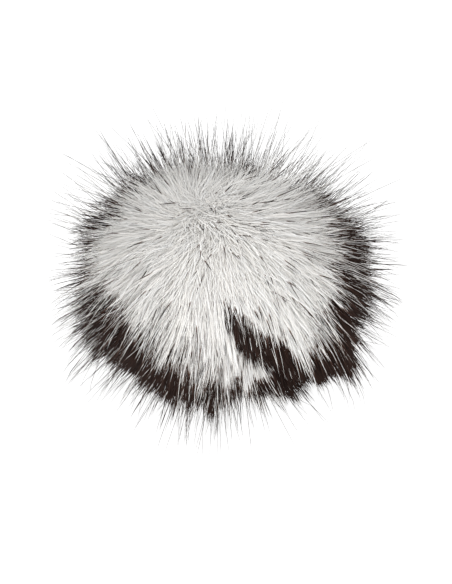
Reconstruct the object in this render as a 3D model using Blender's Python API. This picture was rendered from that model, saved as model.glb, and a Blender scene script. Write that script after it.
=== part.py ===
"""Fur pom pom: a ball of long-pile fur cloth, drawn shut underneath and lying on that side.

Metres, +Z up. The origin is on the floor under the middle, -Y is the front, and +X is its right.
The ball and its locks are one closed solid. Its skin is a net of rings and sectors that follows the
outer face of the dense pile, and each lock grows out of one face of that net. A turn is an angle
round the ball from +X, and a fall is an angle down from the crown.
"""

import math
import random

import bmesh
import bpy
from mathutils import Vector, noise

# The dense pile, without its locks
BALL_RADIUS = 0.056
CROWN_HEIGHT = 0.081
WIDEST_HEIGHT = 0.038
# The lower half would reach this far below the widest part, and the floor stops it before that.
LOWER_DEPTH = 0.042
# The crown sits this far left of the middle.
CROWN_LEAN = 0.008

# The net of the skin
SECTORS = 36
BANDS = 16
CAP_FALL = math.radians(10)
NET_JITTER = 0.16

# Shallow ridges where the pile gathers into tresses from the crown down
RIDGE_DEPTH = 0.0050
RIDGES_ROUND = 3.1
RIDGES_DOWN = 1.1

# The locks: how much of its face a root takes, and how thick a lock is at two places along it
ROOT_SHARE = 0.72
LOCK_SECTIONS = ({"along": 0.36, "thickness": 0.84}, {"along": 0.72, "thickness": 0.48})
LOCK_FLATNESS = 0.8
# How far a lock's bend stands from its root, as a share of its length
BEND_SHARE = 0.46
SIDE_SWAY = math.radians(8)
LENGTH_SPREAD = 0.16
LONGEST_REACH = 0.0732

# The side to which locks rise most. On the other side they droop most.
BACK_TURN = math.radians(88)
# How much of that shows in a lock's first half
ROOT_RISE_SHARE = 0.6
# A fringe of its own reach and swing starts between these falls.
FRINGE_FALLS = (62, 92)

# Locks stand in a chequer, but near the crown only on each sector that these divide.
CROWN_BAND_STEPS = (4, 3, 2)
# The widest bands have half of their other faces' locks as well.
FULL_BANDS = (7, 8, 9)
LAST_LOCK_BAND = 14
# No lock grows where the parting is deeper than this.
BARE_DEPTH = 0.0040

SEED = 11

FUR_COLOUR = (0.80, 0.78, 0.74, 1.0)
FUR_ROUGHNESS = 0.75

# From the crown down: a lock's rise over the horizontal at its root and at its tip, how much more
# it rises at the back, how much more it droops at the front, and its length
LOCKS_BY_FALL = (
    {"fall_deg": 0, "root": 80, "tip": 62, "back_rise": 0, "front_droop": 0, "length": 0.0110},
    {"fall_deg": 12, "root": 70, "tip": 42, "back_rise": 6, "front_droop": 6, "length": 0.0130},
    {"fall_deg": 26, "root": 46, "tip": 10, "back_rise": 16, "front_droop": 16, "length": 0.0185},
    {"fall_deg": 42, "root": 16, "tip": -14, "back_rise": 30, "front_droop": 22, "length": 0.0235},
    {"fall_deg": 58, "root": 2, "tip": -20, "back_rise": 40, "front_droop": 26, "length": 0.0225},
    {"fall_deg": 72, "root": -6, "tip": -24, "back_rise": 34, "front_droop": 28, "length": 0.0215},
    {"fall_deg": 85, "root": -10, "tip": -26, "back_rise": 20, "front_droop": 26, "length": 0.0200},
    {"fall_deg": 100, "root": -14, "tip": -28, "back_rise": 8, "front_droop": 20, "length": 0.0180},
    {"fall_deg": 115, "root": -18, "tip": -28, "back_rise": 0, "front_droop": 12, "length": 0.0150},
    {"fall_deg": 130, "root": -18, "tip": -18, "back_rise": 0, "front_droop": 6, "length": 0.0120},
    {"fall_deg": 145, "root": -8, "tip": -4, "back_rise": 0, "front_droop": 0, "length": 0.0095},
    {"fall_deg": 156, "root": 0, "tip": 0, "back_rise": 0, "front_droop": 0, "length": 0.0080},
)

# Round the ball: how far the fringe reaches against the plain one, and how far it swings aside
FRINGE_BY_TURN = (
    {"turn_deg": 0, "reach": 0.84, "swing_deg": 0},
    {"turn_deg": 40, "reach": 0.92, "swing_deg": 0},
    {"turn_deg": 200, "reach": 0.95, "swing_deg": 0},
    {"turn_deg": 236, "reach": 0.86, "swing_deg": 0},
    {"turn_deg": 268, "reach": 1.00, "swing_deg": 2},
    {"turn_deg": 290, "reach": 0.82, "swing_deg": 12},
    {"turn_deg": 308, "reach": 1.05, "swing_deg": 13},
    {"turn_deg": 322, "reach": 1.20, "swing_deg": 8},
    {"turn_deg": 334, "reach": 0.95, "swing_deg": 2},
    {"turn_deg": 346, "reach": 0.84, "swing_deg": 0},
)

# Broad lobes of the pile: where each is centred, how wide it is, and how far it swells
LOBES = (
    {"turn_deg": 248, "fall_deg": 104, "width_deg": 34, "swell": 0.0050},
    {"turn_deg": 322, "fall_deg": 94, "width_deg": 32, "swell": 0.0034},
    {"turn_deg": 200, "fall_deg": 98, "width_deg": 28, "swell": 0.0026},
    {"turn_deg": 20, "fall_deg": 88, "width_deg": 28, "swell": 0.0018},
    {"turn_deg": 115, "fall_deg": 84, "width_deg": 34, "swell": 0.0020},
    {"turn_deg": 262, "fall_deg": 56, "width_deg": 24, "swell": 0.0024},
)

# The parting at the front, from its top down to the right: its places, half width and depth
PARTING = (
    {"turn_deg": 269, "fall_deg": 66, "half_width": 0.0060, "depth": 0.0020},
    {"turn_deg": 275, "fall_deg": 80, "half_width": 0.0110, "depth": 0.0080},
    {"turn_deg": 286, "fall_deg": 97, "half_width": 0.0130, "depth": 0.0110},
    {"turn_deg": 301, "fall_deg": 111, "half_width": 0.0120, "depth": 0.0090},
    {"turn_deg": 320, "fall_deg": 124, "half_width": 0.0090, "depth": 0.0050},
)


def clear_scene():
    """Removes whatever the scene holds."""
    for obj in list(bpy.data.objects):
        bpy.data.objects.remove(obj, do_unlink=True)


def between_rows(rows, key, column, value):
    """Reads a column of a table at a value of its key, straight between rows."""
    if value <= rows[0][key]:
        return rows[0][column]
    for low, high in zip(rows, rows[1:]):
        if value <= high[key]:
            share = (value - low[key]) / (high[key] - low[key])
            return low[column] + share * (high[column] - low[column])
    return rows[-1][column]


def hump(share):
    """1 at the middle, easing to 0 where the share reaches 1."""
    return (1 - share * share) ** 2 if share < 1 else 0.0


def direction_of(turn, rise):
    """The unit vector at a turn round the ball and a rise over the horizontal."""
    level = math.cos(rise)
    return Vector((level * math.cos(turn), level * math.sin(turn), math.sin(rise)))


def half_height_at(fall):
    """The half height of the plain ball's upper or lower half."""
    return CROWN_HEIGHT - WIDEST_HEIGHT if fall < math.pi / 2 else LOWER_DEPTH


def plain_ball(turn, fall):
    """A point of the plain ball, whose upper half leans to the crown's side."""
    level = BALL_RADIUS * math.sin(fall)
    lean = CROWN_LEAN * max(math.cos(fall), 0.0) ** 2
    height = WIDEST_HEIGHT + half_height_at(fall) * math.cos(fall)
    return Vector((level * math.cos(turn) - lean, level * math.sin(turn), height))


def plain_normal(turn, fall):
    """The outward normal of the plain ball."""
    rise = math.atan2(math.cos(fall) / half_height_at(fall), math.sin(fall) / BALL_RADIUS)
    return direction_of(turn, rise)


def lobe_swell(turn, fall):
    """How far the lobes push the skin out."""
    spot = direction_of(turn, math.pi / 2 - fall)
    total = 0.0
    for lobe in LOBES:
        middle = direction_of(
            math.radians(lobe["turn_deg"]), math.radians(90 - lobe["fall_deg"])
        )
        total += lobe["swell"] * hump(spot.angle(middle) / math.radians(lobe["width_deg"]))
    return total


def parting_depth(turn, fall):
    """How deep the parting is at a place, from the nearest stretch of its line."""
    spot = plain_ball(turn, fall)
    places = [
        plain_ball(math.radians(row["turn_deg"]), math.radians(row["fall_deg"]))
        for row in PARTING
    ]
    deepest = 0.0
    for i, (low, high) in enumerate(zip(PARTING, PARTING[1:])):
        along = places[i + 1] - places[i]
        share = (spot - places[i]).dot(along) / along.length_squared
        share = min(max(share, 0.0), 1.0)
        width = low["half_width"] + share * (high["half_width"] - low["half_width"])
        depth = low["depth"] + share * (high["depth"] - low["depth"])
        gap = (spot - (places[i] + share * along)).length
        deepest = max(deepest, depth * hump(gap / width))
    return deepest


def ridge_height(turn, fall):
    """The tresses' ridges, which run from the crown down and fade at the crown and the base."""
    spot = Vector(
        (
            RIDGES_ROUND * math.cos(turn),
            RIDGES_ROUND * math.sin(turn),
            RIDGES_DOWN * fall,
        )
    )
    return RIDGE_DEPTH * noise.noise(spot) * math.sin(fall) ** 2


def skin_point(turn, fall):
    """A point of the pile's outer face, with its lobes, ridges and parting."""
    push = lobe_swell(turn, fall) + ridge_height(turn, fall) - parting_depth(turn, fall)
    point = plain_ball(turn, fall) + push * plain_normal(turn, fall)
    point.z = max(point.z, 0.0)
    return point


def ring_falls():
    """The falls of the net's rings, from the rim of the crown's cap to the edge of the base."""
    base_fall = math.acos(-WIDEST_HEIGHT / LOWER_DEPTH)
    step = (base_fall - CAP_FALL) / BANDS
    return [CAP_FALL + i * step for i in range(BANDS + 1)]


def make_rings(bm, rng):
    """The net's vertices. Those inside it stand a little off the even net, so that no row shows."""
    falls = ring_falls()
    fall_step = falls[1] - falls[0]
    turn_step = 2 * math.pi / SECTORS
    rings = []
    for i, fall in enumerate(falls):
        loose = NET_JITTER if 0 < i < BANDS else 0.0
        ring = []
        for k in range(SECTORS):
            turn = turn_step * (k + rng.uniform(-loose, loose))
            point = skin_point(turn, fall + fall_step * rng.uniform(-loose, loose))
            if i == BANDS:
                point.z = 0.0
            ring.append(bm.verts.new(point))
        rings.append(ring)
    return rings


def make_skin(bm, rings):
    """The crown's cap, the flat base and the faces between them, which are returned by their place."""
    crown = bm.verts.new(skin_point(0.0, 0.0))
    faces = {}
    for k in range(SECTORS):
        after = (k + 1) % SECTORS
        bm.faces.new((crown, rings[0][k], rings[0][after]))
        for i in range(BANDS):
            upper, lower = rings[i], rings[i + 1]
            faces[i, k] = bm.faces.new((upper[k], lower[k], lower[after], upper[after]))
    bm.faces.new(list(reversed(rings[BANDS])))
    return faces


def grows_lock(band, sector, turn, fall):
    """Whether a lock grows on a face of the skin."""
    if band > LAST_LOCK_BAND or parting_depth(turn, fall) > BARE_DEPTH:
        return False
    if band < len(CROWN_BAND_STEPS):
        step = CROWN_BAND_STEPS[band]
        return sector % step == band % step
    if (band + sector) % 2 == 0:
        return True
    return band in FULL_BANDS and sector % 4 == 1 + band % 2


def lift_deg(turn, fall_deg):
    """How much more a lock rises at its tip for standing at the back, or less for the front."""
    toward_back = math.cos(turn - BACK_TURN)
    column = "back_rise" if toward_back > 0 else "front_droop"
    return toward_back * between_rows(LOCKS_BY_FALL, "fall_deg", column, fall_deg)


def lock_path(root, turn, fall, rng):
    """The three points of a lock's bent centre line: its root, its bend and its tip."""
    fall_deg = math.degrees(fall)
    first, full = FRINGE_FALLS
    fringe = min(max((fall_deg - first) / (full - first), 0.0), 1.0)
    turn_deg = math.degrees(turn)
    reach = between_rows(FRINGE_BY_TURN, "turn_deg", "reach", turn_deg)
    length = between_rows(LOCKS_BY_FALL, "fall_deg", "length", fall_deg)
    length *= 1 + fringe * (reach - 1)
    length *= 1 + rng.uniform(-LENGTH_SPREAD, LENGTH_SPREAD)
    swing = between_rows(FRINGE_BY_TURN, "turn_deg", "swing_deg", turn_deg)
    way = turn + fringe * math.radians(swing) + rng.uniform(-SIDE_SWAY, SIDE_SWAY)
    lift = lift_deg(turn, fall_deg)
    root_rise = between_rows(LOCKS_BY_FALL, "fall_deg", "root", fall_deg)
    tip_rise = between_rows(LOCKS_BY_FALL, "fall_deg", "tip", fall_deg)
    first_way = direction_of(way, math.radians(root_rise + ROOT_RISE_SHARE * lift))
    bend = root + BEND_SHARE * length * first_way
    tip = bend + (1 - BEND_SHARE) * length * direction_of(way, math.radians(tip_rise + lift))
    level = math.hypot(tip.x, tip.y)
    if level > LONGEST_REACH:
        tip.x *= LONGEST_REACH / level
        tip.y *= LONGEST_REACH / level
    tip.z = max(tip.z, 0.0)
    return root, bend, tip


def along_path(path, share):
    """The place and the way of a lock's centre line at a share of its length."""
    root, bend, tip = path
    place = (1 - share) ** 2 * root + 2 * share * (1 - share) * bend + share**2 * tip
    way = (1 - share) * (bend - root) + share * (tip - bend)
    return place, way.normalized()


def lock_section(path, share, half_width, half_depth, turn):
    """Four corners round a lock's centre line, raised together where one would pass the floor."""
    place, way = along_path(path, share)
    above = way.cross(Vector((-math.sin(turn), math.cos(turn), 0.0))).normalized()
    across = above.cross(way)
    corners = [
        place + side * half_width * across + over * half_depth * above
        for side, over in ((-1, 1), (-1, -1), (1, -1), (1, 1))
    ]
    lift = max(0.0, -min(corner.z for corner in corners))
    return [corner + Vector((0, 0, lift)) for corner in corners]


def bridge(bm, lower, upper):
    """The four walls between two rings of four vertices."""
    for i in range(4):
        j = (i + 1) % 4
        bm.faces.new((lower[i], lower[j], upper[j], upper[i]))


def grow_lock(bm, face, turn, fall, rng):
    """Opens a face of the skin and draws a four-sided tapered lock out of it."""
    rim = list(face.verts)
    middle = face.calc_center_median()
    roots = [middle + ROOT_SHARE * (vert.co - middle) for vert in rim]
    half_width = 0.25 * ((roots[3] - roots[0]).length + (roots[2] - roots[1]).length)
    half_depth = 0.25 * ((roots[1] - roots[0]).length + (roots[2] - roots[3]).length)
    path = lock_path(middle, turn, fall, rng)
    bm.faces.remove(face)
    lower = [bm.verts.new(point) for point in roots]
    bridge(bm, rim, lower)
    for section in LOCK_SECTIONS:
        width = section["thickness"] * half_width
        depth = section["thickness"] * half_depth * LOCK_FLATNESS
        corners = lock_section(path, section["along"], width, depth, turn)
        upper = [bm.verts.new(point) for point in corners]
        bridge(bm, lower, upper)
        lower = upper
    apex = bm.verts.new(path[2])
    for i in range(4):
        bm.faces.new((lower[i], lower[(i + 1) % 4], apex))


def build_fur_ball():
    """The ball with its locks, as one closed mesh."""
    rng = random.Random(SEED)
    bm = bmesh.new()
    falls = ring_falls()
    locks = 0
    for (band, sector), face in make_skin(bm, make_rings(bm, rng)).items():
        turn = 2 * math.pi * (sector + 0.5) / SECTORS
        fall = 0.5 * (falls[band] + falls[band + 1])
        if grows_lock(band, sector, turn, fall):
            grow_lock(bm, face, turn, fall, rng)
            locks += 1
    print("locks:", locks)
    mesh = bpy.data.meshes.new("fur_ball")
    bm.to_mesh(mesh)
    bm.free()
    obj = bpy.data.objects.new("fur_ball", mesh)
    bpy.context.scene.collection.objects.link(obj)
    return obj


def fur_material():
    """Off-white pile, matt."""
    material = bpy.data.materials.new("fur_pile")
    material.use_nodes = True
    shader = material.node_tree.nodes["Principled BSDF"]
    shader.inputs["Base Color"].default_value = FUR_COLOUR
    shader.inputs["Roughness"].default_value = FUR_ROUGHNESS
    shader.inputs["Metallic"].default_value = 0.0
    return material


def main():
    """Builds the pom pom."""
    clear_scene()
    ball = build_fur_ball()
    ball.data.materials.append(fur_material())


main()
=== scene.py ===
"""A white faux-fur pom pom with dark tips: its pile, its underside and a plain studio.

Metres, +Z up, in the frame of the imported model. A turn is an angle round the ball from +X, and a
fall is an angle down from the crown.
"""

import logging
import math
from collections.abc import Callable, Iterator
from dataclasses import dataclass
from enum import Enum
from typing import Any

import bpy
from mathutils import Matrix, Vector, noise


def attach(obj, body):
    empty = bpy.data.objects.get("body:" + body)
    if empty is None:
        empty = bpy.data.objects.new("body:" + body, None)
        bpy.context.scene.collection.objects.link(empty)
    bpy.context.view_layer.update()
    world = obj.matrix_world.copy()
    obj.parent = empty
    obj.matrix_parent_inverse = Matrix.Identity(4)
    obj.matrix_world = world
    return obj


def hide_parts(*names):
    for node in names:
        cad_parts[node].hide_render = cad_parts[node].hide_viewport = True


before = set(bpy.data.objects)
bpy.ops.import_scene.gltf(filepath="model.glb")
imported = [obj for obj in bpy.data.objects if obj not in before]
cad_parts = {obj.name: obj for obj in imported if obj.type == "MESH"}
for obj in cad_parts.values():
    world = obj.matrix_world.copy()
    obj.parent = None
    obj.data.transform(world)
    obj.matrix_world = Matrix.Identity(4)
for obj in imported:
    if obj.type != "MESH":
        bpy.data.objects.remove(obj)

LOG = logging.getLogger("pom_pom")
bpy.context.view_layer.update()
BODY = "root"
NODE = "fur_ball"
MM = 0.001

# One strand's colours are a column of this many on its map.
MAP_COLUMNS = 256
DARK_LEVELS = 16
TONES = MAP_COLUMNS // DARK_LEVELS
# The lowest level turns dark this far before the root, and the highest this far past the tip.
DARK_MARGIN = 0.15


def linear(hex_colour: str) -> tuple[float, float, float, float]:
    """Turns an sRGB hex colour to linear.

    Args:
        hex_colour: six hex digits, such as "F2F0EA".

    Returns:
        Red, green, blue and an alpha of 1.
    """
    parts = [int(hex_colour[i : i + 2], 16) / 255 for i in (0, 2, 4)]
    red, green, blue = (
        part / 12.92 if part <= 0.04045 else ((part + 0.055) / 1.055) ** 2.4 for part in parts
    )
    return red, green, blue, 1.0


def add(tree: bpy.types.NodeTree, kind: str, inputs: dict, **settings: Any) -> bpy.types.Node:
    """Adds a node with its settings and links.

    Args:
        tree: the node tree.
        kind: the node's type.
        inputs: input names or numbers, each with a value or the socket or field that feeds it.
        settings: the node's own properties.

    Returns:
        The node.
    """
    node = tree.nodes.new(kind)
    for name, value in settings.items():
        setattr(node, name, value)
    live = [socket for socket in node.inputs if socket.enabled]
    for key, value in inputs.items():
        socket = live[key] if isinstance(key, int) else next(s for s in live if s.name == key)
        value = getattr(value, "socket", value)
        if isinstance(value, bpy.types.NodeSocket):
            tree.links.new(value, socket)
        else:
            socket.default_value = value
    return node


def out(node: bpy.types.Node, name: str | None = None) -> bpy.types.NodeSocket:
    """The node's first live output, or its live output of that name."""
    return next(s for s in node.outputs if s.enabled and name in (None, s.name))


@dataclass(frozen=True)
class Field:
    """A number or vector in a node tree, on which sums add the nodes that work them out."""

    socket: bpy.types.NodeSocket

    def sum_of(self, operation: str, *others: Any) -> "Field":
        """Adds a maths node.

        Args:
            operation: the node's operation.
            others: its other inputs, as numbers, vectors or fields.

        Returns:
            The node's result.
        """
        kind = "ShaderNodeVectorMath" if self.socket.type == "VECTOR" else "ShaderNodeMath"
        inputs = dict(enumerate((self, *others)))
        return Field(out(add(self.socket.id_data, kind, inputs, operation=operation)))

    def __add__(self, other: Any) -> "Field":
        """This and another."""
        return self.sum_of("ADD", other)

    def __sub__(self, other: Any) -> "Field":
        """This less another."""
        return self.sum_of("SUBTRACT", other)

    def __mul__(self, other: Any) -> "Field":
        """This times a number."""
        return self.sum_of("SCALE" if self.socket.type == "VECTOR" else "MULTIPLY", other)

    def __truediv__(self, other: Any) -> "Field":
        """This number over another."""
        return self.sum_of("DIVIDE", other)

    def parts(self) -> tuple["Field", ...]:
        """This vector's three numbers."""
        node = add(self.socket.id_data, "ShaderNodeSeparateXYZ", {0: self})
        return tuple(Field(socket) for socket in node.outputs)


@dataclass(frozen=True)
class Lobe:
    """A broad swelling of the pile."""

    turn_deg: float
    fall_deg: float
    width_deg: float
    swell: float


@dataclass(frozen=True)
class TrackPlace:
    """A place on a line over the ball, with the half width and depth of what follows the line."""

    turn_deg: float
    fall_deg: float
    half_width: float
    depth: float = 0.0


@dataclass(frozen=True)
class Lay:
    """How the strands that are rooted at a fall lie.

    Their rise at the root and at the tip, how much more they rise at the back and less at the
    front, their length, how strongly they draw together into locks, how far each strays, and how
    densely they grow.
    """

    fall_deg: float
    root_rise_deg: float
    tip_rise_deg: float
    back_rise_deg: float
    front_drop_deg: float
    length: float
    clumping: float
    spread: float
    density: float


@dataclass(frozen=True)
class HemPlace:
    """The coat's hem at a turn.

    How far down the white reaches, the share of strands with no dark tip, how far the fringe
    reaches against the plain one, and how far its strands swing aside.
    """

    turn_deg: float
    fall_deg: float
    pale: float
    reach: float
    sway_deg: float = 0.0


def between(rows: tuple, key: str, column: str, value: float) -> float:
    """Reads a column of a table at a value of its key, straight between rows."""
    if value <= getattr(rows[0], key):
        return getattr(rows[0], column)
    for low, high in zip(rows, rows[1:]):
        start, end = getattr(low, key), getattr(high, key)
        if value <= end:
            share = (value - start) / (end - start)
            return getattr(low, column) + share * (getattr(high, column) - getattr(low, column))
    return getattr(rows[-1], column)


def hump(share: float) -> float:
    """1 at the middle, easing to 0 where the share reaches 1."""
    return (1 - share * share) ** 2 if share < 1 else 0.0


def direction_of(turn: float, rise: float) -> Vector:
    """The unit vector at a turn round the ball and a rise over the horizontal."""
    level = math.cos(rise)
    return Vector((level * math.cos(turn), level * math.sin(turn), math.sin(rise)))


def curve_point(path: tuple[Vector, Vector, Vector], t: float) -> Vector:
    """A point of the quadratic curve that has these control points."""
    root, bend, tip = path
    return (1 - t) ** 2 * root + 2 * t * (1 - t) * bend + t * t * tip


@dataclass(frozen=True)
class BallForm:
    """The face that the pile's locks stand on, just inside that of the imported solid."""

    ball_radius: float = 0.054
    crown_height: float = 0.0790
    widest_height: float = 0.038
    lower_depth: float = 0.042
    crown_lean: float = 0.008
    ridge_depth: float = 0.0050
    ridges_round: float = 3.1
    ridges_down: float = 1.1
    lobes: tuple[Lobe, ...] = (
        Lobe(248, 104, 34, 0.0050),
        Lobe(313, 104, 30, 0.0085),
        Lobe(200, 98, 28, 0.0026),
        Lobe(20, 88, 28, 0.0018),
        Lobe(115, 84, 34, 0.0020),
        Lobe(262, 56, 24, 0.0024),
        Lobe(92, 50, 50, -0.0030),
    )
    parting: tuple[TrackPlace, ...] = (
        TrackPlace(269, 66, 0.0060, 0.0020),
        TrackPlace(275, 80, 0.0110, 0.0080),
        TrackPlace(286, 97, 0.0130, 0.0110),
        TrackPlace(301, 111, 0.0120, 0.0090),
        TrackPlace(320, 124, 0.0090, 0.0050),
    )

    def base_fall(self) -> float:
        """The fall at which the ball meets the floor."""
        return math.acos(-self.widest_height / self.lower_depth)

    def half_height(self, fall: float) -> float:
        """The half height of the plain ball's upper or lower half."""
        upper = self.crown_height - self.widest_height
        return upper if fall < math.pi / 2 else self.lower_depth

    def plain(self, turn: float, fall: float) -> Vector:
        """A point of the plain ball, whose upper half leans to the crown's side."""
        level = self.ball_radius * math.sin(fall)
        lean = self.crown_lean * max(math.cos(fall), 0.0) ** 2
        height = self.widest_height + self.half_height(fall) * math.cos(fall)
        return Vector((level * math.cos(turn) - lean, level * math.sin(turn), height))

    def normal(self, turn: float, fall: float) -> Vector:
        """The outward normal of the plain ball."""
        up = math.cos(fall) / self.half_height(fall)
        return direction_of(turn, math.atan2(up, math.sin(fall) / self.ball_radius))

    def swell(self, turn: float, fall: float) -> float:
        """How far the lobes push the skin out."""
        spot = direction_of(turn, math.pi / 2 - fall)
        total = 0.0
        for lobe in self.lobes:
            middle = direction_of(math.radians(lobe.turn_deg), math.radians(90 - lobe.fall_deg))
            total += lobe.swell * hump(spot.angle(middle) / math.radians(lobe.width_deg))
        return total

    def stretches(
        self, track: tuple[TrackPlace, ...], turn: float, fall: float
    ) -> Iterator[tuple[float, float, float]]:
        """Goes along the stretches of a track.

        Yields:
            The gap from the place to the stretch, and the track's half width and depth there.
        """
        spot = self.plain(turn, fall)
        for low, high in zip(track, track[1:]):
            start = self.plain(math.radians(low.turn_deg), math.radians(low.fall_deg))
            along = self.plain(math.radians(high.turn_deg), math.radians(high.fall_deg)) - start
            share = min(max((spot - start).dot(along) / along.length_squared, 0.0), 1.0)
            width = low.half_width + share * (high.half_width - low.half_width)
            depth = low.depth + share * (high.depth - low.depth)
            yield (spot - start - share * along).length, width, depth

    def parting_depth(self, turn: float, fall: float) -> float:
        """How deep the parting is at a place."""
        return max(depth * hump(gap / width) for gap, width, depth in self.stretches(self.parting, turn, fall))

    def ridge(self, turn: float, fall: float) -> float:
        """The tresses' ridges, which run from the crown down."""
        spot = Vector(
            (
                self.ridges_round * math.cos(turn),
                self.ridges_round * math.sin(turn),
                self.ridges_down * fall,
            )
        )
        return self.ridge_depth * noise.noise(spot) * math.sin(fall) ** 2

    def skin(self, turn: float, fall: float, depth: float = 0.0) -> Vector:
        """A point that lies a depth under the pile's outer face."""
        push = self.swell(turn, fall) + self.ridge(turn, fall) - self.parting_depth(turn, fall)
        point = self.plain(turn, fall) + (push - depth) * self.normal(turn, fall)
        point.z = max(point.z, 0.0)
        return point

    def place_of(self, point: Vector) -> tuple[float, float, float]:
        """The turn and the fall of a point, and how far it stands out of the plain ball."""
        lower = point.z < self.widest_height
        half = self.lower_depth if lower else self.crown_height - self.widest_height
        up = (point.z - self.widest_height) / half
        x = point.x + self.crown_lean * min(max(up, 0.0), 1.0) ** 2
        level = math.hypot(x, point.y) / self.ball_radius
        excess = (math.hypot(level, up) - 1) * self.ball_radius
        return math.atan2(point.y, x) % (2 * math.pi), math.atan2(level, up), excess


@dataclass(frozen=True)
class PileLay:
    """How the long pile lies on the ball, and where its white gives way to its dark tips."""

    form: BallForm
    root_depth: float = 0.0032
    # Near the crown the pile lies as this drift takes it, and lower down it falls from the crown.
    drift: float = 0.4
    drift_size: float = 0.009
    bend_share: float = 0.46
    root_turn_share: float = 0.6
    floor_gap: float = 0.0004
    back_turn_deg: float = 95.0
    back_length: float = 0.70
    fringe_from_deg: float = 62.0
    fringe_full_deg: float = 92.0
    dark_length: float = 0.0235
    # A strand is dark where it is past the hem by its fall and its lift together.
    lift_share: float = 1.7
    # A strand that runs into the dark wedge ends this far inside it.
    wedge_tip: float = 0.0100
    wedge_lead: float = 0.0015
    wedge_own_end: float = 0.6
    wedge_own_dark: float = 0.1
    wedge_turns_deg: tuple[float, float] = (255.0, 345.0)
    # Round the wedge, strands keep to their lay within this distance, so that it shows clean.
    wedge_calm: float = 0.012
    # The down gets painted shade this far past the hem, and fades into it over this distance.
    down_shade_lag: float = 0.001
    down_shade_fade: float = 0.012
    # On this lobe more strands turn dark early: partly the dye of strands from both sides mixing into the
    # white, partly painted shade on the lower front.
    dark_strand_and_shade_lobe: Lobe = Lobe(243, 88, 38, 0.95)
    early_least: float = 0.02
    # Guard hairs stand up most at the back, and level out between these falls.
    guard_most: float = 0.85
    guard_sides: float = 0.40
    guard_level_deg: float = 112.0
    guard_fade_deg: float = 40.0
    steps: int = 14
    lay: tuple[Lay, ...] = (
        Lay(0, 14, 4, 0, 2, 0.0150, 0.10, 1.40, 3.0),
        Lay(5, 14, 4, 6, 6, 0.0155, 0.10, 0.95, 2.7),
        Lay(12, 15, 4, 16, 10, 0.0165, 0.12, 0.58, 2.3),
        Lay(26, 14, -3, 24, 19, 0.0200, 0.25, 0.44, 1.6),
        Lay(42, 11, -15, 24, 22, 0.0235, 0.50, 0.38, 1.2),
        Lay(58, 3, -20, 28, 24, 0.0250, 0.85, 0.32, 1.0),
        Lay(72, -6, -26, 26, 28, 0.024, 1.20, 0.22, 1.0),
        Lay(85, -10, -26, 20, 26, 0.0215, 1.45, 0.22, 1.0),
        Lay(100, -14, -28, 8, 20, 0.0185, 1.55, 0.22, 1.0),
        Lay(115, -18, -28, 0, 12, 0.016, 1.55, 0.22, 0.95),
        Lay(130, -18, -18, 0, 6, 0.013, 1.20, 0.20, 0.85),
        Lay(145, -8, -4, 0, 0, 0.0105, 0.80, 0.20, 0.8),
        Lay(156, 0, 0, 0, 0, 0.0085, 0.80, 0.20, 0.8),
    )
    hem: tuple[HemPlace, ...] = (
        HemPlace(0, 61, 0.08, 0.86),
        HemPlace(25, 57, 0.26, 0.86),
        HemPlace(60, 44, 0.24, 1.00),
        HemPlace(90, 41, 0.22, 1.00),
        HemPlace(120, 40, 0.16, 1.00),
        HemPlace(150, 42, 0.05, 1.00),
        HemPlace(168, 46, 0.04, 1.00),
        HemPlace(186, 67, 0.38, 0.98),
        HemPlace(200, 78, 0.46, 0.96),
        HemPlace(211, 78, 0.16, 0.98),
        HemPlace(222, 80, 0.03, 0.94),
        HemPlace(236, 87, 0.04, 0.80),
        HemPlace(246, 96, 0.10, 0.90),
        HemPlace(258, 104, 0.15, 1.12),
        HemPlace(270, 107, 0.22, 1.20, 2),
        HemPlace(283, 112, 0.50, 1.10, 6),
        HemPlace(296, 105, 0.30, 1.30, 4),
        HemPlace(306, 95, 0.05, 1.95, -3),
        HemPlace(314, 88, 0.03, 1.55, -8),
        HemPlace(322, 80, 0.03, 1.08, -8),
        HemPlace(330, 70, 0.04, 0.92, -3),
        HemPlace(338, 64, 0.04, 0.88),
        HemPlace(350, 60, 0.05, 0.88),
        HemPlace(360, 60, 0.08, 0.88),
    )
    wedge: tuple[TrackPlace, ...] = (
        TrackPlace(274, 58, 0.0012),
        TrackPlace(276, 65, 0.0038),
        TrackPlace(280, 74, 0.0058),
        TrackPlace(285, 83, 0.0072),
        TrackPlace(290, 92, 0.0080),
        TrackPlace(301, 105, 0.0078),
        TrackPlace(316, 116, 0.0070),
        TrackPlace(330, 121, 0.0060),
    )

    def of_hem(self, turn: float, column: str) -> float:
        """A value of the hem at a turn."""
        return between(self.hem, "turn_deg", column, math.degrees(turn) % 360)

    def of_lay(self, fall: float, column: str) -> float:
        """A value of the lay at a fall."""
        return between(self.lay, "fall_deg", column, math.degrees(fall))

    def depth(self, fall: float) -> float:
        """How deep strands are rooted, which runs out towards the crown and the floor."""
        left = min(max((self.form.base_fall() - fall) / math.radians(16), 0.0), 1.0)
        return self.root_depth * left * min(0.2 + fall / math.radians(38), 1.0)

    def way(self, turn: float, fall: float, root: Vector) -> float:
        """The turn that a strand takes: its drift near the crown, and away from the crown below."""
        away = math.sin(min(fall, math.pi / 2)) * direction_of(turn, 0.0)
        away += self.drift * noise.noise_vector(root / self.drift_size)
        sway = math.radians(self.of_hem(turn, "sway_deg")) * math.sin(fall)
        return math.atan2(away.y, away.x) + sway

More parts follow.
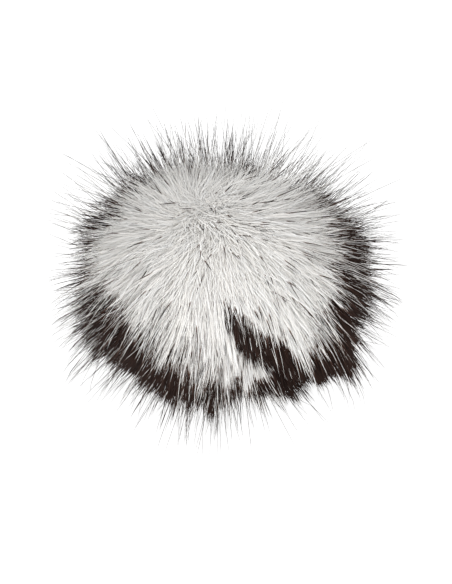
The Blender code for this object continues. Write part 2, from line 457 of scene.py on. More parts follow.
    def path(self, turn: float, fall: float) -> tuple[Vector, Vector, Vector]:
        """The plain strand that is rooted at a place.

        Returns:
            Its root, its bend and its tip: the control points of a quadratic curve.
        """
        root = self.form.skin(turn, fall, self.depth(fall))
        way = self.way(turn, fall, root)
        aside = (way - turn + math.pi) % (2 * math.pi) - math.pi
        toward_back = math.cos(way - math.radians(self.back_turn_deg))
        column = "back_rise_deg" if toward_back > 0 else "front_drop_deg"
        lift = self.of_lay(fall, column) * toward_back
        fringe = (math.degrees(fall) - self.fringe_from_deg) / (self.fringe_full_deg - self.fringe_from_deg)
        fringe = min(max(fringe, 0.0), 1.0)
        length = self.of_lay(fall, "length") * (1 + fringe * (self.of_hem(turn, "reach") - 1))
        length *= 1 - (1 - self.back_length) * max(toward_back, 0.0) * math.sin(fall)
        first = math.radians(self.of_lay(fall, "root_rise_deg") + 0.6 * lift)
        last = math.radians(self.of_lay(fall, "tip_rise_deg") + lift)
        bend = root + self.bend_share * length * direction_of(turn + self.root_turn_share * aside, first)
        tip = bend + (1 - self.bend_share) * length * direction_of(way, last)
        bend.z = max(bend.z, self.floor_gap)
        tip.z = max(tip.z, self.floor_gap)
        return root, bend, tip

    def past_hem(self, point: Vector) -> float:
        """How far a point is past the hem of the white, in metres."""
        turn, fall, excess = self.form.place_of(point)
        hem = math.radians(self.of_hem(turn, "fall_deg"))
        lift = excess - self.form.swell(turn, fall)
        return (fall - hem) * self.form.ball_radius + self.lift_share * lift

    def calm(self, turn: float, fall: float) -> float:
        """How strictly strands keep to their lay: 1 in the dark wedge, easing to 0 outside it."""
        return hump(max(-self.in_wedge(self.form.plain(turn, fall)), 0.0) / self.wedge_calm)

    def in_wedge(self, point: Vector) -> float:
        """How far a point is inside the dark wedge."""
        turn, fall, _ = self.form.place_of(point)
        first, last = self.wedge_turns_deg
        if not first < math.degrees(turn) < last:
            return -math.inf
        return max(width - gap for gap, width, _ in self.form.stretches(self.wedge, turn, fall))

    def crossing(self, path: tuple[Vector, Vector, Vector], inside: Callable) -> float | None:
        """The share of a strand's length at which a measure of its points first turns positive."""
        before = inside(path[0])
        if before > 0:
            return 0.0
        for i in range(1, self.steps + 1):
            here = inside(curve_point(path, i / self.steps))
            if here > 0:
                back = here / (here - before) if before > -math.inf else 0.5
                return (i - back) / self.steps
            before = here
        return None

    def strand(self, turn: float, fall: float) -> tuple[Vector, Vector, Vector, float, float]:
        """The strand that is rooted at a place, with the share of its length where it turns dark.

        Returns:
            Its root, bend and tip, a share that is over 1 where it stays white, and how much of
            its length the dye takes at most.
        """
        root, bend, tip = path = self.path(turn, fall)
        length = (bend - root).length + (tip - bend).length
        dyed = self.dark_length / length
        edge = self.crossing(path, self.past_hem)
        if edge is None:
            edge = 1.0 - self.past_hem(tip) / length
        entry = self.crossing(path, self.in_wedge)
        if entry is not None:
            end = min(1.0, entry + self.wedge_tip / length) if entry else self.wedge_own_end
            dark = (entry - self.wedge_lead / length) / end if entry else self.wedge_own_dark
            return root, root.lerp(bend, end), curve_point(path, end), min(dark, edge / end), 1.0
        return root, bend, tip, edge, dyed

    def guard_rise(self, turn: float, fall: float) -> float:
        """How far a guard hair's tip stands over the plain one's, as a share of its length."""
        toward_back = math.cos(turn - math.radians(self.back_turn_deg))
        upper = min(max((self.guard_level_deg - math.degrees(fall)) / self.guard_fade_deg, 0.0), 1.0)
        return self.guard_most * upper * max(self.guard_sides + (1 - self.guard_sides) * toward_back, 0.0)

    def early(self, turn: float, fall: float) -> float:
        """The share of strands that turn dark early, which is highest on the front lobe, partly as painted
        shade.
        """
        lobe = self.dark_strand_and_shade_lobe
        spot = direction_of(turn, math.pi / 2 - fall)
        middle = direction_of(math.radians(lobe.turn_deg), math.radians(90 - lobe.fall_deg))
        return self.early_least + lobe.swell * hump(spot.angle(middle) / math.radians(lobe.width_deg))

    def down_shade(self, turn: float, fall: float) -> float:
        """How much shade is painted on the down: 1 where the pile over it is dark, and 0 under the white."""
        spot = self.form.plain(turn, fall)
        past = max(self.in_wedge(spot), self.past_hem(spot) - self.down_shade_lag)
        return min(max(past / self.down_shade_fade, 0.0), 1.0)


@dataclass(frozen=True)
class FibreFinish:
    """Acrylic faux-fur fibre, spun white and tip-dyed: soft, half matt, each strand its own shade."""

    name: str = "acrylic_fur_pile"
    # Undyed acrylic is a clean white, some strands a little warm; the root colour is painted shade, a touch
    # warmer and darker, for the shade deep in the pile.
    cool_white: str = "FEFEFD"
    warm_white: str = "FCF9F4"
    root_shade_white: str = "FEFCF9"
    # The dye runs from a thin taupe through brown to a brown black at the tip.
    taupe: str = "9A897D"
    brown: str = "4C342A"
    tip_brown: str = "39251D"
    tip_black: str = "180C08"
    roughness: float = 0.62
    fade: float = 0.22
    root_shade_share: float = 0.3

    def build(self) -> bpy.types.Material:
        """Makes the material, whose colour follows each strand's column on the map."""
        material = bpy.data.materials.new(self.name)
        material.use_nodes = True
        tree = material.node_tree
        shader = tree.nodes["Principled BSDF"]
        shader.inputs["Roughness"].default_value = self.roughness
        shader.inputs["Specular IOR Level"].default_value = 0.2

        def mix(factor: Any, start: Any, end: Any) -> Field:
            """A colour between two others."""
            inputs = {"Factor": factor, "A": start, "B": end}
            return Field(out(add(tree, "ShaderNodeMix", inputs, data_type="RGBA")))

        across, along, _ = Field(out(add(tree, "ShaderNodeUVMap", {}, uv_map="OFBake"))).parts()
        column = (across * MAP_COLUMNS).sum_of("FLOOR")
        level = (column / TONES).sum_of("FLOOR")
        start = level * ((1 + 2 * DARK_MARGIN) / (DARK_LEVELS - 1)) - DARK_MARGIN
        past = Field(out(add(tree, "ShaderNodeClamp", {"Value": (along - start) / self.fade})))
        tone = add(tree, "ShaderNodeTexWhiteNoise", {"W": column}, noise_dimensions="1D")
        warmth, tip_tone, _ = Field(tone.outputs["Color"]).parts()
        white = mix(warmth, linear(self.cool_white), linear(self.warm_white))
        # Painted shade: towards the root the white turns to the root colour, for the shade deep in the pile.
        white = mix(along / self.root_shade_share, linear(self.root_shade_white), white)
        tip = mix(tip_tone, linear(self.tip_brown), linear(self.tip_black))
        dark = mix(past * 2.0, linear(self.taupe), linear(self.brown))
        dark = mix(past * 2.0 - 1.0, dark, tip)
        tree.links.new(mix(past * 3.0, white, dark).socket, shader.inputs["Base Color"])
        return material


@dataclass(frozen=True)
class DownFinish:
    """The short dense down under the pile: warm white, matt, with a fine nap, and painted shade in its hollows
    and under the dark pile.
    """

    name: str = "acrylic_fur_down"
    # Matted crimped fibre, with painted shade: where the nap is low, in the hollows between its tufts, the
    # colour is a little darker.
    light: str = "F6F4F0"
    deep: str = "E9E4DC"
    # Painted shade: where the pile over it is dark, the down is coloured dark brown for the shade under that
    # pile.
    dyed: str = "2E1E18"
    nap: float = 1.2 * MM
    roughness: float = 0.9

    def build(self) -> bpy.types.Material:
        """Makes the material, mottled at the scale of the nap, with painted shade in the hollows and under the
        dark pile.
        """
        material = bpy.data.materials.new(self.name)
        material.use_nodes = True
        tree = material.node_tree
        shader = tree.nodes["Principled BSDF"]
        shader.inputs["Roughness"].default_value = self.roughness
        shader.inputs["Specular IOR Level"].default_value = 0.1
        place = add(tree, "ShaderNodeTexCoord", {})
        inputs = {"Vector": place.outputs["Object"], "Scale": 1 / self.nap, "Detail": 3.0}
        nap = out(add(tree, "ShaderNodeTexNoise", inputs))
        # Painted shade: the same noise as the bump puts the darker colour in the hollows.
        inputs = {"Factor": nap, "A": linear(self.deep), "B": linear(self.light)}
        white = add(tree, "ShaderNodeMix", inputs, data_type="RGBA")
        # Painted shade: the stored attribute mixes dark brown into the down under the dark pile.
        down_shade = out(add(tree, "ShaderNodeAttribute", {}, attribute_name="down_shade"), "Fac")
        inputs = {"Factor": down_shade, "A": out(white), "B": linear(self.dyed)}
        colour = add(tree, "ShaderNodeMix", inputs, data_type="RGBA")
        bump = add(tree, "ShaderNodeBump", {"Strength": 0.6, "Distance": 0.5 * MM, "Height": nap})
        tree.links.new(out(colour), shader.inputs["Base Color"])
        tree.links.new(out(bump), shader.inputs["Normal"])
        return material


@dataclass
class Undercoat:
    """The dense down that the strands are rooted in, closed underneath by the drawn-in cloth."""

    lay: PileLay
    # As a share of the strands' own depth
    under: float = 0.45
    sectors: int = 120
    bands: int = 66
    base_rings: int = 8
    pleats: int = 20
    pleat_height: float = 1.2 * MM
    cap_fall: float = math.radians(2)

    def falls(self) -> list[float]:
        """The falls of the rings, from the rim of the crown's cap to the edge of the base."""
        step = (self.lay.form.base_fall() - self.cap_fall) / self.bands
        return [self.cap_fall + i * step for i in range(self.bands + 1)]

    def point(self, turn: float, fall: float) -> Vector:
        """A point of the down's face, over the strands' roots."""
        return self.lay.form.skin(turn, fall, self.under * self.lay.depth(fall))

    def base_point(self, edge: Vector, turn: float, share: float) -> Vector:
        """A point of the drawn-in base, whose pleats fade at the middle and at the edge."""
        lift = self.pleat_height * (1 + math.cos(self.pleats * turn)) / 2
        lift *= 4 * share * (1 - share)
        return Vector((edge.x * share, edge.y * share, edge.z + lift))

    def build(self, material: bpy.types.Material) -> bpy.types.Object:
        """Makes the closed body of the down."""
        turns = [2 * math.pi * k / self.sectors for k in range(self.sectors)]
        points = [self.point(0.0, 0.0)]
        down_shades = [0.0]
        for fall in self.falls():
            points += [self.point(turn, fall) for turn in turns]
            # Painted shade for the down, strongest under the dark pile.
            down_shades += [self.lay.down_shade(turn, fall) for turn in turns]
        edge = points[-self.sectors :]
        for i in range(1, self.base_rings):
            share = 1 - i / self.base_rings
            points += [self.base_point(edge[k], turn, share) for k, turn in enumerate(turns)]
        points.append(sum(edge, Vector()) / self.sectors)
        rings = (len(points) - 2) // self.sectors
        faces = []
        for k in range(self.sectors):
            after = (k + 1) % self.sectors
            faces.append((0, 1 + k, 1 + after))
            for i in range(rings - 1):
                upper, lower = 1 + i * self.sectors, 1 + (i + 1) * self.sectors
                faces.append((upper + k, lower + k, lower + after, upper + after))
            last = 1 + (rings - 1) * self.sectors
            faces.append((last + k, len(points) - 1, last + after))
        mesh = bpy.data.meshes.new("fur_down")
        mesh.from_pydata(points, [], faces)
        mesh.shade_smooth()
        down_shades += [0.0] * (len(points) - len(down_shades))
        mesh.attributes.new("down_shade", "FLOAT", "POINT").data.foreach_set("value", down_shades)
        mesh.materials.append(material)
        piece = bpy.data.objects.new("fur_down", mesh)
        bpy.context.scene.collection.objects.link(piece)
        return piece


@dataclass
class Scalp:
    """The face that the strands are rooted in, which carries how each place's strand lies."""

    lay: PileLay
    sectors: int = 144
    bands: int = 72
    cap_fall: float = math.radians(0.5)

    def build(self) -> bpy.types.Object:
        """Makes the scalp as a mesh with a strand's bend, tip and other values at each point."""
        step = (self.lay.form.base_fall() - math.radians(1) - self.cap_fall) / self.bands
        roots, bends, tips = [], [], []
        names = "dark_from dyed early guard_rise clumping spread density pale mixing"
        values: dict[str, list[float]] = {name: [] for name in names.split()}
        for i in range(self.bands + 1):
            fall = self.cap_fall + i * step
            for k in range(self.sectors):
                turn = 2 * math.pi * k / self.sectors
                root, bend, tip, dark, dyed = self.lay.strand(turn, fall)
                roots.append(root)
                bends.extend(bend)
                tips.extend(tip)
                values["dark_from"].append(dark)
                values["dyed"].append(dyed)
                values["early"].append(self.lay.early(turn, fall))
                values["guard_rise"].append(self.lay.guard_rise(turn, fall))
                free = 1 - 0.85 * self.lay.calm(turn, fall)
                values["clumping"].append(self.lay.of_lay(fall, "clumping") * free)
                values["spread"].append(self.lay.of_lay(fall, "spread") * free)
                values["density"].append(self.lay.of_lay(fall, "density"))
                values["pale"].append(self.lay.of_hem(turn, "pale") * free)
                values["mixing"].append(free)
        faces = []
        for i in range(self.bands):
            for k in range(self.sectors):
                after = (k + 1) % self.sectors
                upper, lower = i * self.sectors, (i + 1) * self.sectors
                faces.append((upper + k, lower + k, lower + after, upper + after))
        mesh = bpy.data.meshes.new("scalp")
        mesh.from_pydata(roots, [], faces)
        mesh.attributes.new("bend", "FLOAT_VECTOR", "POINT").data.foreach_set("vector", bends)
        mesh.attributes.new("tip", "FLOAT_VECTOR", "POINT").data.foreach_set("vector", tips)
        for name, column in values.items():
            mesh.attributes.new(name, "FLOAT", "POINT").data.foreach_set("value", column)
        scalp = bpy.data.objects.new("scalp", mesh)
        bpy.context.scene.collection.objects.link(scalp)
        return scalp


@dataclass(frozen=True)
class StrandShape:
    """One strand at unit length: a closed three-sided spike, straight, with its own map."""

    name: str = "strand"
    shares: tuple[float, ...] = (0.0, 0.42, 0.80)
    widths: tuple[float, ...] = (0.8, 1.0, 0.80)
    sides: int = 3

    def build(self) -> bpy.types.Object:
        """Makes the spike. Its rings lie at the shares of its length, and its tip at 1."""
        points, alongs, faces, maps = [], [], [], []
        for share, width in zip(self.shares, self.widths):
            for side in range(self.sides):
                angle = 2 * math.pi * side / self.sides
                points.append((width * math.cos(angle), width * math.sin(angle), share))
                alongs.append(share)
        points.append((0.0, 0.0, 1.0))
        alongs.append(1.0)
        faces.append(tuple(reversed(range(self.sides))))
        maps += [(1.0, 0.0), (0.5, 0.02), (0.0, 0.0)]
        tip = len(points) - 1
        for side in range(self.sides):
            after = (side + 1) % self.sides
            left, right = side / self.sides, (side + 1) / self.sides
            for i in range(len(self.shares) - 1):
                low, high = i * self.sides, (i + 1) * self.sides
                faces.append((low + side, low + after, high + after, high + side))
                start, end = self.shares[i], self.shares[i + 1]
                maps += [(left, start), (right, start), (right, end), (left, end)]
            last = (len(self.shares) - 1) * self.sides
            faces.append((last + side, last + after, tip))
            maps += [(left, self.shares[-1]), (right, self.shares[-1]), ((left + right) / 2, 1.0)]
        mesh = bpy.data.meshes.new(self.name)
        mesh.from_pydata(points, [], faces)
        mesh.shade_smooth()
        mesh.attributes.new("along", "FLOAT", "POINT").data.foreach_set("value", alongs)
        layer = mesh.attributes.new("strand_map", "FLOAT2", "CORNER")
        layer.data.foreach_set("vector", [value for pair in maps for value in pair])
        strand = bpy.data.objects.new(self.name, mesh)
        bpy.context.scene.collection.objects.link(strand)
        return strand


class CoatPart(Enum):
    """The parts of the coat, each with the turns in degrees that it spans."""

    FRONT_LEFT = ("fur_front_left", 225.0, 273.0)
    FRONT_RIGHT = ("fur_front_right", 273.0, 330.0)
    RIGHT = ("fur_right", 330.0, 395.0)
    BACK_RIGHT = ("fur_back_right", 35.0, 95.0)
    BACK_LEFT = ("fur_back_left", 95.0, 160.0)
    LEFT = ("fur_left", 160.0, 225.0)


class StrandTree:
    """The node tree that grows strands on the scalp between two turns."""

    kinds = {
        bpy.types.Object: "NodeSocketObject",
        bpy.types.Material: "NodeSocketMaterial",
        float: "NodeSocketFloat",
        int: "NodeSocketInt",
    }
    scratch = (
        "root bend tip bend_way tip_way bend_at tip_at stretch girth column along strand_map "
        "luck dark_from dyed early guard stray guard_rise clumping spread density pale mixing id"
    )

    def __init__(self, values: dict[str, Any]) -> None:
        """Makes the tree, with an input for each value.

        Args:
            values: the inputs' names, each with a value of its kind.
        """
        self.tree = bpy.data.node_groups.new("grow_strands", "GeometryNodeTree")
        face = self.tree.interface
        face.new_socket("Geometry", in_out="INPUT", socket_type="NodeSocketGeometry")
        for name, value in values.items():
            face.new_socket(name, in_out="INPUT", socket_type=self.kinds[type(value)])
        face.new_socket("Geometry", in_out="OUTPUT", socket_type="NodeSocketGeometry")
        entry = self.tree.nodes.new("NodeGroupInput").outputs
        self.entry = {socket.name: Field(socket) for socket in entry if socket.name}
        self.position = Field(self.add("GeometryNodeInputPosition", {}))
        strands = self.shaped(self.placed(self.clumped(self.roots())))
        strands = self.softened(self.mapped(strands))
        for name in self.scratch.split():
            strands = self.add("GeometryNodeRemoveAttribute", {"Geometry": strands, "Name": name})
        inputs = {"Geometry": strands, "Material": self.entry["Fibre"]}
        strands = self.add("GeometryNodeSetMaterial", inputs)
        self.tree.links.new(strands, self.tree.nodes.new("NodeGroupOutput").inputs[0])

    def add(self, kind: str, inputs: dict, name: str | None = None, **settings: Any) -> Any:
        """Adds a node to the tree and gives its first live output, or the one of that name."""
        return out(add(self.tree, kind, inputs, **settings), name)

    def named(self, name: str, kind: str = "FLOAT") -> Field:
        """The value of a named attribute."""
        return Field(self.add("GeometryNodeInputNamedAttribute", {"Name": name}, data_type=kind))

    def chance(self, low: Any, high: Any, seed: int, kind: str = "FLOAT") -> Field:
        """A random value for each point, between two others."""
        inputs = {"Min": low, "Max": high, "Seed": self.entry["Seed"] + seed}
        return Field(self.add("FunctionNodeRandomValue", inputs, data_type=kind))

    def lucky(self, share: Any, seed: int) -> Field:
        """1 for a share of the points, and 0 for the others."""
        return self.chance(0.0, 1.0, seed).sum_of("LESS_THAN", share)

    def vector(self, x: Any, y: Any, z: Any) -> Field:
        """The vector of three numbers."""
        return Field(self.add("ShaderNodeCombineXYZ", {0: x, 1: y, 2: z}))

    def keep(self, geometry: Any, name: str, value: Field, kind: str = "FLOAT", domain: str = "POINT") -> Any:
        """Stores a named attribute."""
        inputs = {"Geometry": geometry, "Name": name, "Value": value}
        return self.add("GeometryNodeStoreNamedAttribute", inputs, data_type=kind, domain=domain)

    def scattered(self, density: str, seed: int) -> Any:
        """Points at random over the scalp, that many a square millimetre."""
        inputs = {
            "Mesh": self.entry["Geometry"],
            "Density": self.entry[density] * self.named("density") * 1e6,
            "Seed": self.entry["Seed"] + seed,
        }
        return self.add("GeometryNodeDistributePointsOnFaces", inputs, "Points")

    def spread(self, points: Any, seed: int) -> Any:
        """Stores each point's root, and its own way to its bend and its tip, spread at random."""
        bend = self.named("bend", "FLOAT_VECTOR") - self.position
        tip = self.named("tip", "FLOAT_VECTOR") - self.position
        shake = self.chance((-1, -1, -1), (1, 1, 1), seed, "FLOAT_VECTOR")
        shake = shake * (tip.sum_of("LENGTH") * self.named("spread"))
        points = self.keep(points, "root", self.position, "FLOAT_VECTOR")
        points = self.keep(points, "bend_way", bend + shake * 0.35, "FLOAT_VECTOR")
        return self.keep(points, "tip_way", tip + shake, "FLOAT_VECTOR")

    def roots(self) -> Any:
        """The strands' roots between the two turns, each with its own way and stretch."""
        x, y, _ = self.position.parts()
        turn = y.sum_of("ARCTAN2", x) * (180 / math.pi) - self.entry["Turn From"]
        turn = turn.sum_of("FLOORED_MODULO", 360.0)
        width = self.entry["Turn To"] - self.entry["Turn From"]
        inputs = {0: turn, 1: width}
        outside = self.add("FunctionNodeCompare", inputs, operation="GREATER_EQUAL")
        inputs = {"Geometry": self.scattered("Density", 30), "Selection": outside}
        roots = self.add("GeometryNodeDeleteGeometry", inputs, domain="POINT")
        free = self.named("mixing") * self.named("mixing")
        roots = self.spread(roots, 31)
        roots = self.keep(roots, "guard", self.lucky(self.entry["Guard Share"] * free, 32))
        roots = self.keep(roots, "stray", self.lucky(self.entry["Stray Share"] * free, 53))
        plain = self.chance(self.entry["Shortest"], self.entry["Plain"], 1)
        extra = self.chance(0.0, 1.0, 33).sum_of("POWER", self.entry["Long Rarity"])
        extra = extra * (self.entry["Longest"] - self.entry["Plain"])
        extra = (extra * self.named("guard")).sum_of("MAXIMUM", self.named("stray") * 0.3)
        return self.keep(roots, "stretch", plain + extra)

    def clumped(self, roots: Any) -> Any:
        """Stores where each strand bends and ends, drawn to its lock's guide and held in reach."""
        guides = self.spread(self.scattered("Lock Density", 20), 21)
        uneven = self.entry["Unevenness"]
        guides = self.keep(guides, "luck", self.chance(uneven * -1.0, uneven, 22) + 1.0)
        inputs = {"Geometry": guides, "Sample Position": self.position}
        nearest = self.add("GeometryNodeSampleNearest", inputs)

        def of_guide(name: str, kind: str = "FLOAT_VECTOR") -> Field:
            """A value of the nearest guide."""
            inputs = {"Geometry": guides, "Value": self.named(name, kind), "Index": nearest}
            return Field(self.add("GeometryNodeSampleIndex", inputs, data_type=kind))

        stretch = self.named("stretch") * of_guide("luck", "FLOAT")
        pull = self.entry["Clumping"] * self.named("clumping") * self.chance(0.3, 1.3, 41)
        rise = self.named("guard_rise") * self.named("guard") + self.named("stray") * 0.15
        rise = rise * self.named("tip_way", "FLOAT_VECTOR").sum_of("LENGTH")
        rise = self.vector(0.0, 0.0, rise)
        ends = []
        for name, share in (("bend_way", 0.45), ("tip_way", 1.0)):
            own = self.position + (self.named(name, "FLOAT_VECTOR") + rise * (share * share)) * stretch
            lock = of_guide("root") + of_guide(name) * stretch
            ends.append(own + (lock - own) * (pull * share))
        bend, tip = ends
        level = tip.sum_of("MULTIPLY", (1, 1, 0)).sum_of("LENGTH")
        hold = (self.entry["Reach"] / level).sum_of("MINIMUM", 1.0)
        tip = tip.sum_of("MULTIPLY", self.vector(hold, hold, 1.0))
        tip = tip.sum_of("MINIMUM", self.vector(10.0, 10.0, self.entry["Height"]))
        floor = self.vector(-10.0, -10.0, self.entry["Floor Gap"])
        roots = self.keep(roots, "bend_at", bend.sum_of("MAXIMUM", floor), "FLOAT_VECTOR")
        return self.keep(roots, "tip_at", tip.sum_of("MAXIMUM", floor), "FLOAT_VECTOR")

    def placed(self, roots: Any) -> Any:
        """Stores each strand's girth and its column of the map, and puts a strand at each root."""
        stray = self.named("stray")
        girth = self.chance(0.8, 1.2, 55) * (self.named("guard") * -0.42 + 1.0)
        roots = self.keep(roots, "girth", girth + stray * 0.8)
        spread = self.entry["Dark Spread"] * self.named("mixing")
        dark = self.named("dark_from") / self.named("stretch")
        dark = dark.sum_of("MAXIMUM", self.named("dyed") / self.named("stretch") * -1.0 + 1.0)
        dark = dark + self.chance(spread * -1.0, spread, 51)
        dark = dark + self.lucky(self.named("pale"), 54) * 2.0
        early = self.lucky(self.named("early"), 57) * -4.0 + 4.0
        dark = dark.sum_of("MINIMUM", self.chance(0.25, 0.95, 58) + early)
        dark = dark.sum_of("MINIMUM", self.chance(0.4, 0.7, 56) + (stray * -4.0 + 4.0))
        level = (dark + DARK_MARGIN) * ((DARK_LEVELS - 1) / (1 + 2 * DARK_MARGIN))
        level = level.sum_of("MAXIMUM", 0.0).sum_of("MINIMUM", DARK_LEVELS - 1.0).sum_of("ROUND")
        tone = self.chance(0.0, TONES - 0.01, 52).sum_of("FLOOR")
        roots = self.keep(roots, "column", level * float(TONES) + tone)
        template = self.add("GeometryNodeObjectInfo", {"Object": self.entry["Strand"]}, "Geometry")
        strands = self.add("GeometryNodeInstanceOnPoints", {"Points": roots, "Instance": template})
        return self.add("GeometryNodeRealizeInstances", {"Geometry": strands})

    def shaped(self, strands: Any) -> Any:
        """Bends each straight strand along its curve, at its own width."""
        t = self.named("along")
        rest = t * -1.0 + 1.0
        start, bend, tip = (self.named(name, "FLOAT_VECTOR") for name in ("root", "bend_at", "tip_at"))
        way = ((bend - start) * rest + (tip - bend) * t).sum_of("NORMALIZE")
        place = start * (rest * rest) + bend * (rest * t * 2.0) + tip * (t * t)
        side = way.sum_of("CROSS_PRODUCT", (0.13, 0.07, 0.99)).sum_of("NORMALIZE")
        over = way.sum_of("CROSS_PRODUCT", side)
        across, above, _ = (self.position - start).parts()
        width = self.entry["Width"] * self.named("girth")
        ring = (side * across + over * above) * width
        target = (place + ring).sum_of("MAXIMUM", (-10, -10, 0))
        return self.add("GeometryNodeSetPosition", {"Geometry": strands, "Position": target})

    def mapped(self, strands: Any) -> Any:
        """Lays each strand on its own column of the map."""
        across, along, _ = self.named("strand_map", "FLOAT_VECTOR").parts()
        u = (across * 0.7 + 0.15 + self.named("column")) / MAP_COLUMNS
        return self.keep(strands, "OFBake", self.vector(u, along, 0.0), "FLOAT2", "CORNER")

    def softened(self, strands: Any) -> Any:
        """Turns the strands' normals out of the ball, as light that passes through fibre softens them."""
        outward = (self.position - self.vector(0.0, 0.0, self.entry["Middle"])).sum_of("NORMALIZE")
        own = Field(self.add("GeometryNodeInputNormal", {}, "Normal"))
        soft = self.entry["Softness"]
        normal = (outward * soft + own * (soft * -1.0 + 1.0)).sum_of("NORMALIZE")
        inputs = {"Mesh": strands, "Custom Normal": normal}
        return self.add("GeometryNodeSetMeshNormal", inputs, mode="FREE", domain="POINT")


@dataclass
class FurCoat:
    """The long pile, grown on the scalp strand by strand."""

    strand_width: float = 0.16 * MM
    strands_per_mm2: float = 2.04
    locks_per_mm2: float = 0.05
    # Shares of the lay's length: from the shortest to the plain strands, and the longest guard
    # hair. The higher the rarity, the fewer guard hairs are near the longest.
    shortest: float = 0.46
    plain: float = 0.74
    longest: float = 1.9
    long_rarity: float = 2.0
    guard_share: float = 0.16
    clumping: float = 0.42
    unevenness: float = 0.35
    dark_spread: float = 0.22
    stray_share: float = 0.013
    reach: float = 79 * MM
    height: float = 92 * MM
    floor_gap: float = 0.3 * MM
    # Where the strands' normals point away from, and how far they turn to do so
    middle: float = 30 * MM
    softness: float = 0.8
    seed: int = 3

    def grow(self, scalp: bpy.types.Object, strand: bpy.types.Object, fibre: bpy.types.Material) -> list:
        """Grows the coat part by part and turns each into a plain mesh.

        Args:
            scalp: the face that the strands are rooted in.
            strand: the straight strand at unit length.
            fibre: the strands' material.

        Returns:
            The parts.
        """
        values = {
            "Strand": strand,
            "Fibre": fibre,
            "Density": self.strands_per_mm2,
            "Lock Density": self.locks_per_mm2,
            "Width": self.strand_width,
            "Shortest": self.shortest,
            "Plain": self.plain,
            "Longest": self.longest,
            "Long Rarity": self.long_rarity,
            "Guard Share": self.guard_share,
            "Clumping": self.clumping,
            "Unevenness": self.unevenness,
            "Dark Spread": self.dark_spread,
            "Stray Share": self.stray_share,
            "Reach": self.reach,
            "Height": self.height,
            "Floor Gap": self.floor_gap,
            "Middle": self.middle,
            "Softness": self.softness,
            "Turn From": 0.0,
            "Turn To": 360.0,
            "Seed": self.seed,
        }
        tree = StrandTree(values).tree
        pieces = []
        for part in CoatPart:
            name, values["Turn From"], values["Turn To"] = part.value
            modifier = scalp.modifiers.new("grow", "NODES")
            modifier.node_group = tree
            for item in tree.interface.items_tree:
                if item.in_out == "INPUT" and item.name in values:
                    modifier[item.identifier] = values[item.name]
            graph = bpy.context.evaluated_depsgraph_get()
            mesh = bpy.data.meshes.new_from_object(scalp.evaluated_get(graph))
            mesh.name = name
            scalp.modifiers.remove(modifier)
            pieces.append(bpy.data.objects.new(name, mesh))
            bpy.context.scene.collection.objects.link(pieces[-1])
        return pieces


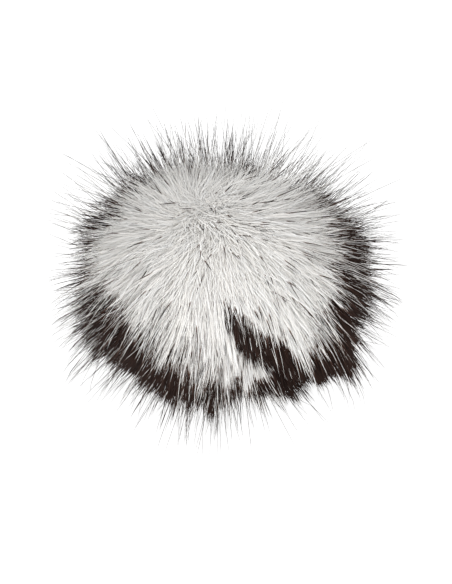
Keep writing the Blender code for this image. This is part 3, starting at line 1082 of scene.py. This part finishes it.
@dataclass(frozen=True)
class Studio:
    """A white floor lit from below, soft light from all sides, and a long lens from the front."""

    elevation_deg: float = 36.0
    aim: tuple[float, float, float] = (0.0004, -0.0027, 0.0343)
    frame_height: float = 0.2546
    lens_mm: float = 100.0
    sensor_mm: float = 36.0
    floor_half: float = 3.0
    floor_drop: float = 0.0002
    # An opal sheet lit from below, as for packshots, which leaves hardly any shadow.
    floor_white: str = "9A9A9A"
    floor_glow: float = 0.9
    world_strength: float = 0.66
    key_power: float = 17.0
    key_size: float = 1.6
    key_place: tuple[float, float, float] = (-0.15, -1.0, 1.1)

    def build(self) -> None:
        """Adds the floor, the lights and the camera."""
        self.add_floor()
        self.add_lights()
        self.add_camera()

    def add_floor(self) -> None:
        """Lays the floor just under the surface that the ball rests on."""
        half, drop = self.floor_half, self.floor_drop
        corners = [(-half, -half, -drop), (half, -half, -drop), (half, half, -drop), (-half, half, -drop)]
        mesh = bpy.data.meshes.new("studio_floor")
        mesh.from_pydata(corners, [], [(0, 1, 2, 3)])
        material = bpy.data.materials.new("opal_acrylic_light_table")
        material.use_nodes = True
        shader = material.node_tree.nodes["Principled BSDF"]
        shader.inputs["Base Color"].default_value = linear(self.floor_white)
        shader.inputs["Roughness"].default_value = 0.9
        shader.inputs["Specular IOR Level"].default_value = 0.0
        shader.inputs["Emission Color"].default_value = (1.0, 1.0, 1.0, 1.0)
        shader.inputs["Emission Strength"].default_value = self.floor_glow
        mesh.materials.append(material)
        floor = bpy.data.objects.new("studio_floor", mesh)
        bpy.context.scene.collection.objects.link(floor)

    def add_lights(self) -> None:
        """Lights the ball evenly, and most from above and a little in front."""
        world = bpy.data.worlds.new("studio_white")
        world.use_nodes = True
        background = world.node_tree.nodes["Background"]
        background.inputs["Color"].default_value = (1.0, 1.0, 1.0, 1.0)
        background.inputs["Strength"].default_value = self.world_strength
        bpy.context.scene.world = world
        light = bpy.data.lights.new("softbox", "AREA")
        light.energy = self.key_power
        light.size = self.key_size
        softbox = bpy.data.objects.new("softbox", light)
        softbox.location = self.key_place
        softbox.rotation_euler = (Vector((0, 0, 0.04)) - softbox.location).to_track_quat("-Z", "Y").to_euler()
        bpy.context.scene.collection.objects.link(softbox)
        bpy.context.scene.cycles.diffuse_bounces = 12

    def add_camera(self) -> None:
        """Sets the camera at the front, looking down on the ball."""
        camera = bpy.data.cameras.new("camera")
        camera.lens = self.lens_mm
        camera.sensor_width = self.sensor_mm
        distance = self.frame_height * self.lens_mm / self.sensor_mm
        rise = math.radians(self.elevation_deg)
        away = Vector((0.0, -math.cos(rise), math.sin(rise)))
        viewer = bpy.data.objects.new("camera", camera)
        viewer.location = Vector(self.aim) + distance * away
        viewer.rotation_euler = (-away).to_track_quat("-Z", "Y").to_euler()
        bpy.context.scene.collection.objects.link(viewer)
        bpy.context.scene.camera = viewer
        bpy.context.scene.view_settings.view_transform = "Standard"


def dress(piece: bpy.types.Object) -> None:
    """Makes a piece ride on the ball's body, and logs its size."""
    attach(piece, BODY)
    piece.data.calc_loop_triangles()
    LOG.info("%s: %d triangles", piece.name, len(piece.data.loop_triangles))


def main() -> None:
    """Builds the pom pom and its studio."""
    logging.basicConfig(level=logging.INFO, format="%(name)s %(message)s")
    Studio().build()
    lay = PileLay(BallForm())
    down = Undercoat(lay).build(DownFinish().build())
    dress(down)
    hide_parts(NODE)
    scalp = Scalp(lay).build()
    strand = StrandShape().build()
    for piece in FurCoat().grow(scalp, strand, FibreFinish().build()):
        dress(piece)
    for helper in (scalp, strand):
        bpy.data.objects.remove(helper, do_unlink=True)


if __name__ == "__main__":
    main()
